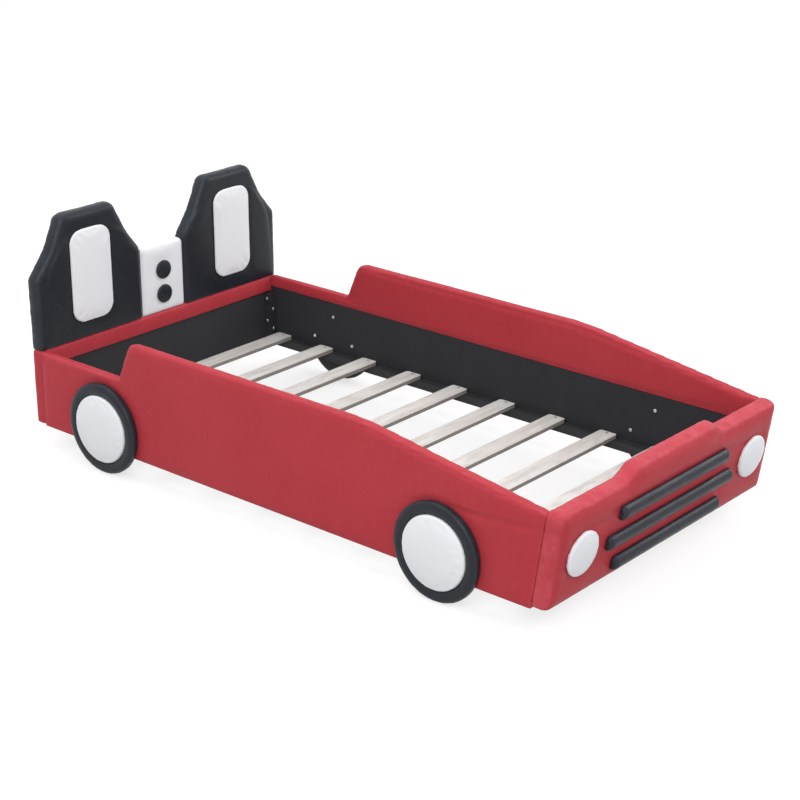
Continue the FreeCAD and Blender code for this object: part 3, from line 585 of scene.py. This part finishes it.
plywood = {
    "tone": (214, 185, 146), "deep": (190, 158, 118), "band": (150, 116, 82),
    "grain": (1, 6, 0.6), "along": (55, 55, 3), "sheet": 0.0036, "bandSpan": (0.2, 1, 0, 0.35),
    "relief": (0.0004, 0.4), "roughness": 0.62,
}


def plyFinish(name, axis):
    # Board cut from sheets: pale faces, and thin bands through its thickness.
    material, tree, shader, place = newFinish(name, plywood["roughness"])
    grain = noiseField(tree, stretchedPlace(tree, place, plywood["along"]), *plywood["grain"])
    tone = blendTones(tree, grain, evenly, plywood["deep"], plywood["tone"])
    split = tree.nodes.new("ShaderNodeSeparateXYZ")
    tree.links.new(place, split.inputs["Vector"])
    level = sums(tree, "MULTIPLY", split.outputs[axis], math.tau / plywood["sheet"])
    bands = sums(tree, "SINE", level, 0)
    tone = blendTones(tree, bands, plywood["bandSpan"], tone, plywood["band"])
    tree.links.new(tone, shader.inputs["Base Color"])
    relief(tree, shader, grain, *plywood["relief"])
    return material


plyAcross = plyFinish("plywoodAcross", "X")
plyAlong = plyFinish("plywoodAlong", "Y")

steel = {
    "spangles": 420, "spangleSpan": (0, 0.6, 0, 1), "scratches": (240, 4), "smooth": 0.22,
    "rough": 0.42, "relief": (0.0001, 0.4), "roughness": 0.3,
}


def steelFinish(name, dull, bright):
    material, tree, shader, place = newFinish(name, steel["roughness"])
    shader.inputs["Metallic"].default_value = 1
    spangle = cellField(tree, place, steel["spangles"])
    tone = blendTones(tree, spangle, steel["spangleSpan"], dull, bright)
    tree.links.new(tone, shader.inputs["Base Color"])
    patchyMask = noiseField(tree, place, *steel["scratches"])
    rubbed = between(tree, patchyMask, *evenly[:2], steel["smooth"], steel["rough"])
    tree.links.new(rubbed, shader.inputs["Roughness"])
    relief(tree, shader, patchyMask, *steel["relief"])
    return material


zincSteel = steelFinish("zincSteel", (176, 179, 184), (206, 208, 212))
darkSteel = steelFinish("darkSteel", (52, 53, 56), (72, 73, 76))
print("finishes mixed")

finishOf = {"slat_wood": slatWood, "black_wood": blackWood, "bright_steel": zincSteel}
for name, node in cadNodes.items():
    kind = node.data.materials[0].name.split(".")[0] if node.data.materials else ""
    finish = finishOf.get(kind)
    if kind == "plywood":
        finish = plyAcross if "side" in name else plyAlong
    if name == "slat_rail_screws":
        finish = darkSteel
    if finish:
        for index in range(len(node.material_slots)):
            node.material_slots[index].material = finish
print("boards, slats, rails, posts and screws finished")


# Side panels: a red cover round the board and over the lining's edges.
sidePad = {
    "weave": 8, "swell": 4.5, "tight": 14, "waves": 0.9, "waveSpan": 170, "puckers": 0.9,
    "seeds": {"left": 11, "right": 40},
    "faces": [(1, 0, 0), (0, 0, 1)],
    "held": [
        {"low": (480, -1100, 0), "high": (498.5, 1100, 281)},
        {"wall": (0, 0, 73.5), "facing": (0, 0, -1)},
        {"wall": (0, 979.5, 0), "facing": (0, 1, 0), "fade": 5},
        {"wall": (0, -917.6, 79.6), "facing": outOfNose, "fade": 4},
        *(
            {
                "disc": (wheelSpots[end], wheelSpots["height"]), "across": (1, 2), "radius": 136,
                "from": 514, "to": 530, "fade": 20,
            }
            for end in ("rear", "front")
        ),
    ],
    "pressed": [
        {
            "axis": 1, "level": -0.2, "reach": 8, "low": (490, -12, -8), "high": (540, 3, 300),
            "leaning": True,
        },
        {"axis": 2, "level": 71.6, "reach": 6, "low": (490, -930, 60), "high": (540, 985, 84)},
        {"axis": 1, "level": 980.1, "reach": 4, "low": (490, 970, 76), "high": (540, 985, 312)},
    ],
}
sideBoard = {
    "corners": [
        (978.5, 50), (978.5, 306.7), (620.5, 306.7), (567.3, 431.7),
        (-344.3, 431.7), (-957.7, 343.7), (-911.8, 50),
    ],
    "rounds": {2: 10.6, 3: 31.8},
    "inner": 496.6, "outer": 512.0,
    "liningLow": (470, -1100, 0), "liningHigh": (496.9, 1100, 277.5),
}


def sideCutters(sign):
    board = slab(
        sideBoard["corners"], sideBoard["inner"], sideBoard["outer"],
        lambda a, b, t: (t * sign, a, b), sideBoard["rounds"],
    )
    (near, *low), (far, *high) = sideBoard["liningLow"], sideBoard["liningHigh"]
    near, far = sorted((near * sign, far * sign))
    return [board, block((near, *low), (far, *high))]


def makeSidePads():
    layers = ("cover", "board", "lining")
    parts = [mergedCopy("left_side_" + layer, layer + "Filling") for layer in layers]
    left = swell(softForm("leftSidePad", sidePad, parts), sidePad)
    pads = {"left": left, "right": mirrored(left, "rightSidePad")}
    for side, piece in pads.items():
        wrinkle(piece, sidePad, sidePad["seeds"][side], sides[side])
        carve(piece, sideCutters(sides[side]))
        finishPad(piece, redVinyl, "red_vinyl", side + "_side_cover")
        print(side, "side panel padded", len(piece.data.vertices))


makeSidePads()


# Headboard: red base, two black seat backs with white insets, white console with two buttons.
# "board" is the stretch of the headboard's board inside a pad, cut at its first and third numbers.
basePad = {
    "weave": 7, "swell": 4, "waves": 0.7, "puckers": 0.6, "seed": 23,
    "faces": [(0, 1, 0), (1, 0, 0)],
    "board": ((-600, 0, 0), (600, 0, 315)),
    "held": [
        {"wall": (0, 0, 314.5), "facing": (0, 0, 1), "fade": 8},
        {"wall": (0, 0, 73.5), "facing": (0, 0, -1)},
        {"low": (490, 900, 0), "high": (540, 982, 400), "fade": 5},
        {"low": (-540, 900, 0), "high": (-490, 982, 400), "fade": 5},
        {"low": (-540, 900, 0), "high": (540, 991, 262)},
    ],
    "boardRoom": ((-511.9, 988.1, 0), (511.9, 1008.5, 400)),
    "liningRoom": ((-495.5, 960, 0), (495.5, 988.4, 259.5)),
}


def headPart(pad, name):
    board = mergedCopy("headboard_board", name)
    for point, outwards in zip(pad["board"], (-1, 1)):
        keepBehind(board, point, (outwards, 0, 0))
        keepBehind(board, point, (0, 0, outwards))
    return board


def makeBasePad():
    parts = [mergedCopy("headboard_cover", "baseCover"), headPart(basePad, "baseBoard")]
    parts.append(mergedCopy("headboard_lining", "baseLining"))
    piece = swell(softForm("headboardBasePad", basePad, parts), basePad)
    wrinkle(piece, basePad, basePad["seed"])
    carve(piece, [block(*basePad["boardRoom"]), block(*basePad["liningRoom"])])
    finishPad(piece, redVinyl, "red_vinyl", "headboard_cover")
    print("headboard base padded", len(piece.data.vertices))


makeBasePad()

seatPad = {
    "weave": 6, "swell": 7, "waves": 0.8, "puckers": 0.9, "waveSpan": 110, "seed": 31,
    "faces": [(0, 1, 0)],
    "board": ((92, 0, 316), (600, 0, 900)),
    "held": [
        {"wall": (0, 0, 317), "facing": (0, 0, -1), "fade": 8},
        {"low": (80, 984, 300), "high": (93, 1030, 530), "fade": 42},
        {"low": (232, 960, 376), "high": (379, 980, 661), "fade": 14},
    ],
    "pressed": [
        {"axis": 0, "level": 91.3, "reach": 7, "low": (80, 983, 300), "high": (110, 1020, 543)},
        {"axis": 2, "level": 315.6, "reach": 5, "low": (80, 978, 300), "high": (530, 1020, 330)},
    ],
}
insetPad = {
    "weave": 3.5, "swell": 4, "pressure": 2.5, "stiff": 4, "waves": 0.3, "puckers": 0.3, "seed": 52,
    "faces": [(0, 1, 0)],
    "crown": (0, -1, 0),
    "held": [{"wall": (0, 972.5, 0), "facing": (0, 1, 0), "fade": 4}],
}


def makeSeatBacks():
    parts = [mergedCopy("left_seat_back_pad", "seatCover"), headPart(seatPad, "seatBoard")]
    left = swell(softForm("leftSeatBack", seatPad, parts), seatPad)
    seats = {"left": left, "right": mirrored(left, "rightSeatBack")}
    parts = [mergedCopy("left_seat_back_inset", "insetCover")]
    inset = swell(softForm("leftSeatInset", insetPad, parts), insetPad)
    insets = {"left": inset, "right": mirrored(inset, "rightSeatInset")}
    for side, piece in seats.items():
        wrinkle(piece, seatPad, seatPad["seed"] + sides[side], sides[side])
        carve(piece, [mergedCopy("headboard_board", "boardShape")])
        finishPad(piece, blackVinyl, "black_vinyl", side + "_seat_back_pad")
        wrinkle(insets[side], insetPad, insetPad["seed"] + sides[side])
        finishPad(insets[side], whiteVinyl, "white_vinyl", side + "_seat_back_inset")
        print(side, "seat back padded", len(piece.data.vertices))


makeSeatBacks()

buttonPad = {
    "weave": 2.5, "swell": 2, "waves": 0.2, "puckers": 0.2, "seed": 70,
    "faces": [(0, 1, 0)],
    "held": [{"wall": (0, 979, 0), "facing": (0, 1, 0), "fade": 4}],
    "height": 374.5, "pitch": 82,
}
consolePad = {
    "weave": 5, "swell": 8, "waves": 0.8, "puckers": 0.6, "waveSpan": 80, "seed": 61,
    "faces": [(0, 1, 0)],
    "board": ((-90.5, 0, 316), (90.5, 0, 900)),
    "held": [
        {"wall": (0, 0, 317), "facing": (0, 0, -1), "fade": 8},
        {"low": (90, 985, 300), "high": (99, 1030, 560), "fade": 8},
        {"low": (-99, 985, 300), "high": (-90, 1030, 560), "fade": 8},
        *(
            {
                "disc": (0, buttonPad["height"] + step), "across": (0, 2), "radius": 27,
                "from": 970, "to": 985, "fade": 14,
            }
            for step in (0, buttonPad["pitch"])
        ),
    ],
    "pressed": [
        {"axis": 0, "level": 91.1, "reach": 4, "low": (80, 981, 300), "high": (110, 1020, 543)},
        {"axis": 0, "level": -91.1, "reach": 4, "low": (-110, 981, 300), "high": (-80, 1020, 543)},
        {"axis": 2, "level": 315.6, "reach": 5, "low": (-100, 978, 300), "high": (100, 1020, 330)},
    ],
}


def makeConsole():
    parts = [mergedCopy("console_pad", "consoleCover"), headPart(consolePad, "consoleBoard")]
    piece = swell(softForm("consolePad", consolePad, parts), consolePad)
    wrinkle(piece, consolePad, consolePad["seed"])
    carve(piece, [mergedCopy("headboard_board", "boardShape")])
    finishPad(piece, whiteVinyl, "white_vinyl", "console_pad")
    parts = [mergedCopy("lower_console_button", "buttonCover")]
    lower = swell(softForm("lowerButton", buttonPad, parts), buttonPad)
    upper = shifted(lower, "upperButton", (0, 0, buttonPad["pitch"]))
    for level, button in {"lower": lower, "upper": upper}.items():
        wrinkle(button, buttonPad, buttonPad["seed"])
        finishPad(button, blackVinyl, "black_vinyl", level + "_console_button", fill=0.8)
    print("console and buttons padded", len(piece.data.vertices))


makeConsole()


# Front panel, headlamps and grille bars.
frontPad = {
    "weave": 8, "swell": 5, "waves": 0.9, "puckers": 1.3, "seed": 81, "leaning": True,
    "faces": [outOfNose],
    "held": [
        {"wall": (0, 0, 2), "facing": (0, 0, -1)},
        {"low": (-600, -20, -20), "high": (600, 6, 209)},
        {"low": (488, -20, -20), "high": (560, 1.5, 300), "fade": 4},
        {"low": (-560, -20, -20), "high": (-488, 1.5, 300), "fade": 4},
        *(
            {
                "disc": (lampSpot[0] * sign, lampSpot[1]), "across": (0, 2), "radius": 60,
                "from": 46, "to": 70, "fade": 14,
            }
            for sign in sides.values()
        ),
        {"low": (-253, 46, 33), "high": (253, 70, 67), "fade": 14},
        {"low": (-295, 46, 109.5), "high": (295, 70, 143.5), "fade": 14},
        {"low": (-253, 46, 186), "high": (253, 70, 220), "fade": 14},
    ],
    "pressed": [
        {
            "axis": 1, "level": 0, "reach": 9, "low": (494, -5, 4), "high": (540, 12, 279),
            "leaning": True,
        },
        {
            "axis": 1, "level": 0, "reach": 9, "low": (-540, -5, 4), "high": (-494, 12, 279),
            "leaning": True,
        },
    ],
}
frontBoard = {
    "corners": [
        (-507.4, -20), (507.4, -20), (507.4, 270.7), (229.2, 270.7),
        (180.2, 301.7), (-180.2, 301.7), (-229.2, 270.7), (-507.4, 270.7),
    ],
    "inner": 3.4, "outer": 21.7,
    "liningCorners": [(-495.5, -20), (495.5, -20), (495.5, 206), (-495.5, 206)],
    "liningInner": -20, "liningOuter": 3.6,
}


def makeFrontPanel():
    layers = ("cover", "board", "lining")
    parts = [mergedCopy("front_" + layer, layer + "Filling") for layer in layers]
    piece = swell(softForm("frontPanelPad", frontPad, parts), frontPad)
    wrinkle(piece, frontPad, frontPad["seed"])
    board = slab(frontBoard["corners"], frontBoard["inner"], frontBoard["outer"], onSlope)
    depth = (frontBoard["liningInner"], frontBoard["liningOuter"])
    carve(piece, [board, slab(frontBoard["liningCorners"], *depth, onSlope)])
    finishPad(piece, redVinyl, "red_vinyl", "front_cover")
    print("front panel padded", len(piece.data.vertices))


makeFrontPanel()

lampPad = {
    "weave": 4, "swell": 4, "waves": 0.4, "puckers": 0.4, "seed": 90, "leaning": True,
    "faces": [outOfNose], "crown": outOfNose,
    "held": [{"wall": (0, 56, 0), "facing": (0, -1, 0), "fade": 6}],
    "boardRadius": 60.7, "boardDepth": (50, 59.1),
}
barPad = {
    "weave": 4, "swell": 9, "rise": 6, "waves": 0.6, "puckers": 0.9, "waveSpan": 45, "seed": 95,
    "leaning": True,
    "faces": [outOfNose], "crown": outOfNose,
    "held": [
        {"wall": (0, 55.5, 0), "facing": (0, -1, 0), "fade": 6},
        {"low": (-400, 40, -50), "high": (400, 120, 29), "fade": 19},
        {"low": (-400, 40, 71), "high": (400, 120, 105.5), "fade": 19},
        {"low": (-400, 40, 147.5), "high": (400, 120, 182), "fade": 19},
        {"low": (-400, 40, 224), "high": (400, 120, 300), "fade": 19},
    ],
}


def makeLampsAndBars():
    layers = {"pad": "lampCover", "board": "lampBoard"}
    parts = [mergedCopy("left_headlamp_" + layer, title) for layer, title in layers.items()]
    left = swell(softForm("leftHeadlamp", lampPad, parts), lampPad)
    headlamps = {"left": left, "right": mirrored(left, "rightHeadlamp")}
    for side, lamp in headlamps.items():
        wrinkle(lamp, lampPad, lampPad["seed"] + sides[side])
        centre = (lampSpot[0] * sides[side], lampSpot[1])
        carve(lamp, [disc(centre, lampPad["boardRadius"], *lampPad["boardDepth"], onSlope)])
        finishPad(lamp, whiteVinyl, "white_vinyl", side + "_headlamp_pad")
    for index, level in enumerate(("lower", "middle", "upper")):
        bar = softForm(level + "GrilleBar", barPad, [mergedCopy(level + "_grille_bar", "barCover")])
        wrinkle(swell(bar, barPad), barPad, barPad["seed"] + index)
        finishPad(bar, blackVinyl, "black_vinyl", level + "_grille_bar", fill=0.8)
    print("headlamps and grille bars padded")


makeLampsAndBars()


# Wheels: one is made, at the left in front, and the others are its copies.
tyrePad = {
    "weave": 5, "swell": 5, "waves": 0.6, "puckers": 0.8, "waveSpan": 60, "seed": 101,
    "faces": [(1, 0, 0)],
    "held": [
        {"wall": (522.5, 0, 0), "facing": (-1, 0, 0), "fade": 6},
        {
            "disc": (wheelSpots["front"], wheelSpots["height"]), "across": (1, 2),
            "radius": 107.5, "from": 500, "to": 600, "fade": 9,
        },
        {"wall": (0, 0, 2), "facing": (0, 0, -1), "fade": 10},
    ],
    "boardRadius": 135.2, "boardDepth": (500, 535.9), "lowest": 0.2,
}
hubPad = {
    "weave": 5, "swell": 3.5, "waves": 0.6, "puckers": 0.4, "waveSpan": 90, "seed": 111,
    "faces": [(1, 0, 0)],
    "held": [{"wall": (546, 0, 0), "facing": (-1, 0, 0), "fade": 5}],
}


def makeWheels():
    layers = {"tyre_pad": "tyreCover", "wheel_board": "tyreBoard"}
    parts = [mergedCopy("left_front_" + layer, title) for layer, title in layers.items()]
    tyre = swell(softForm("leftFrontTyre", tyrePad, parts), tyrePad)
    restOn(tyre, tyrePad["lowest"])
    parts = [mergedCopy("left_front_hub_pad", "hubCover")]
    hub = swell(softForm("leftFrontHub", hubPad, parts), hubPad)
    wrinkle(tyre, tyrePad, tyrePad["seed"])
    wrinkle(hub, hubPad, hubPad["seed"])
    restOn(tyre, tyrePad["lowest"])
    centre = (wheelSpots["front"], wheelSpots["height"])
    room = (tyrePad["boardRadius"], *tyrePad["boardDepth"])
    carve(tyre, [disc(centre, *room, lambda a, b, t: (t, a, b))])
    step = (0, wheelSpots["rear"] - wheelSpots["front"], 0)
    wheels = {
        ("left", "front"): (tyre, hub),
        ("left", "rear"): (shifted(tyre, "leftRearTyre", step), shifted(hub, "leftRearHub", step)),
    }
    for end in ("front", "rear"):
        title = "right" + end.capitalize()
        ring, cap = wheels["left", end]
        wheels["right", end] = (mirrored(ring, title + "Tyre"), mirrored(cap, title + "Hub"))
    for (side, end), (ring, cap) in wheels.items():
        finishPad(ring, blackVinyl, "black_vinyl", side + "_" + end + "_tyre_pad")
        finishPad(cap, whiteVinyl, "white_vinyl", side + "_" + end + "_hub_pad")
    print("wheels padded", len(tyre.data.vertices), len(hub.data.vertices))


makeWheels()


# Linings, stretched on the boards. Corners are on the board's face, depth is across it.
linings = {
    "side": {
        "corners": [(-917.0, 71.6), (980.0, 71.6), (980.0, 277.4), (-948.0, 277.4)],
        "depth": (495.5, 496.7),
    },
    "headboard": {
        "corners": [(-495.0, 71.6), (495.0, 71.6), (495.0, 259.4), (-495.0, 259.4)],
        "depth": (986.9, 988.1),
    },
    "front": {
        "corners": [(-495.0, 0.1), (495.0, 0.1), (495.0, 205.9), (-495.0, 205.9)],
        "depth": (2.2, 3.4),
    },
}


def makeLining(name, lining, where):
    corners = lining["corners"]
    piece = slab(corners, *lining["depth"], where)
    nameIt(piece, name + "Lining")
    openMesh(piece)
    bpy.ops.mesh.subdivide(number_cuts=3)
    closeMesh()
    piece.data.materials.append(blackLining)
    # Cut flat, it is as wide as it stands, and as long as its area asks where an end slants.
    width, length = (math.dist(*ends) * mm for ends in (corners[1:3], corners[:2]))
    around = zip(corners, corners[1:] + corners[:1])
    area = abs(sum(p[0] * q[1] - q[0] * p[1] for p, q in around)) / 2 * mm * mm
    length = max(length, area / width)
    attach(piece, "root")
    return piece


for side, sign in sides.items():
    piece = makeLining(
        side + "Side", linings["side"], lambda a, b, t, s=sign: (t * s, a, b)
    )
    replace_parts(piece, side + "_side_lining")
piece = makeLining(
    "headboard", linings["headboard"], lambda a, b, t: (a, t, b)
)
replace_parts(piece, "headboard_lining")
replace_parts(makeLining("front", linings["front"], onSlope), "front_lining")
print("linings stretched")


# Studio, in metres.
studio = {"sky": 0.97, "floorTone": 0.4, "floorGlow": 0.64, "floorSize": 80}
lamps = {
    "keyLamp": {"power": 145, "size": (3, 3), "place": (-4.6, -3.2, 4.3), "aim": (0, 0, 0.3)},
    "fillLamp": {"power": 75, "size": (2, 2), "place": (4.5, -2.5, 3.0), "aim": (0, 0, 0.3)},
    "topLamp": {"power": 65, "size": (4, 4), "place": (0, 1.0, 5.0), "aim": (0, 0, 0.2)},
}
lookout = {
    "place": (-4.069, -3.525, 2.384), "turn": -50.949, "height": 20.998, "roll": 0.571,
    "lens": 87.096, "film": 36, "shift": (-0.0621, -0.0255), "farthest": 200,
}


def seenDirectly(tree):
    # 1 for what the camera sees itself, in a mirror or through glass.
    path = tree.nodes.new("ShaderNodeLightPath")
    seen = sums(tree, "MAXIMUM", path.outputs["Is Camera Ray"], path.outputs["Is Glossy Ray"])
    return sums(tree, "MAXIMUM", seen, path.outputs["Is Transmission Ray"])


def makeFloor():
    bpy.ops.object.select_all(action="DESELECT")
    bpy.ops.mesh.primitive_plane_add(size=studio["floorSize"], location=(0, 0, 0))
    floor = nameIt(bpy.context.object, "studioFloor")
    material = bpy.data.materials.new("palePaper")
    material.use_nodes = True
    tree = material.node_tree
    tree.nodes.clear()
    out = tree.nodes.new("ShaderNodeOutputMaterial")
    paper = tree.nodes.new("ShaderNodeBsdfDiffuse")
    paper.inputs["Color"].default_value = (studio["floorTone"],) * 3 + (1,)
    glow = tree.nodes.new("ShaderNodeEmission")
    seen = sums(tree, "MULTIPLY", seenDirectly(tree), studio["floorGlow"])
    tree.links.new(seen, glow.inputs["Strength"])
    both = tree.nodes.new("ShaderNodeAddShader")
    tree.links.new(paper.outputs["BSDF"], both.inputs[0])
    tree.links.new(glow.outputs["Emission"], both.inputs[1])
    tree.links.new(both.outputs["Shader"], out.inputs["Surface"])
    floor.data.materials.append(material)


def makeSky():
    world = bpy.data.worlds.new("studioSky")
    scene.world = world
    world.use_nodes = True
    tree = world.node_tree
    tree.nodes.clear()
    out = tree.nodes.new("ShaderNodeOutputWorld")
    sky = tree.nodes.new("ShaderNodeBackground")
    strength = between(tree, seenDirectly(tree), 0, 1, studio["sky"], 1)
    tree.links.new(strength, sky.inputs["Strength"])
    sky.inputs["Color"].default_value = (1, 1, 1, 1)
    tree.links.new(sky.outputs["Background"], out.inputs["Surface"])


def hangLamp(name, lamp):
    light = bpy.data.lights.new(name, "AREA")
    light.shape = "RECTANGLE"
    light.size, light.size_y = lamp["size"]
    light.energy = lamp["power"]
    holder = bpy.data.objects.new(name, light)
    scene.collection.objects.link(holder)
    holder.location = lamp["place"]
    beam = Vector(lamp["aim"]) - Vector(lamp["place"])
    holder.rotation_euler = beam.to_track_quat("-Z", "Y").to_euler()


def makeCamera():
    camera = bpy.data.objects.new("lookout", bpy.data.cameras.new("lookout"))
    scene.collection.objects.link(camera)
    camera.data.sensor_width = lookout["film"]
    camera.data.lens = lookout["lens"]
    camera.data.shift_x, camera.data.shift_y = lookout["shift"]
    camera.data.clip_end = lookout["farthest"]
    a, e, r = (math.radians(lookout[key]) for key in ("turn", "height", "roll"))
    back = Vector((math.sin(a) * math.cos(e), -math.cos(a) * math.cos(e), math.sin(e)))
    right = (-back).cross(Vector((0, 0, 1))).normalized()
    up = right.cross(-back)
    right, up = right * math.cos(r) + up * math.sin(r), up * math.cos(r) - right * math.sin(r)
    turn = Matrix((right, up, back)).transposed().to_4x4()
    camera.matrix_world = Matrix.Translation(lookout["place"]) @ turn
    scene.camera = camera


makeFloor()
makeSky()
for name, lamp in lamps.items():
    hangLamp(name, lamp)
makeCamera()
scene.view_settings.view_transform = "Standard"
print("studio lit, camera set")
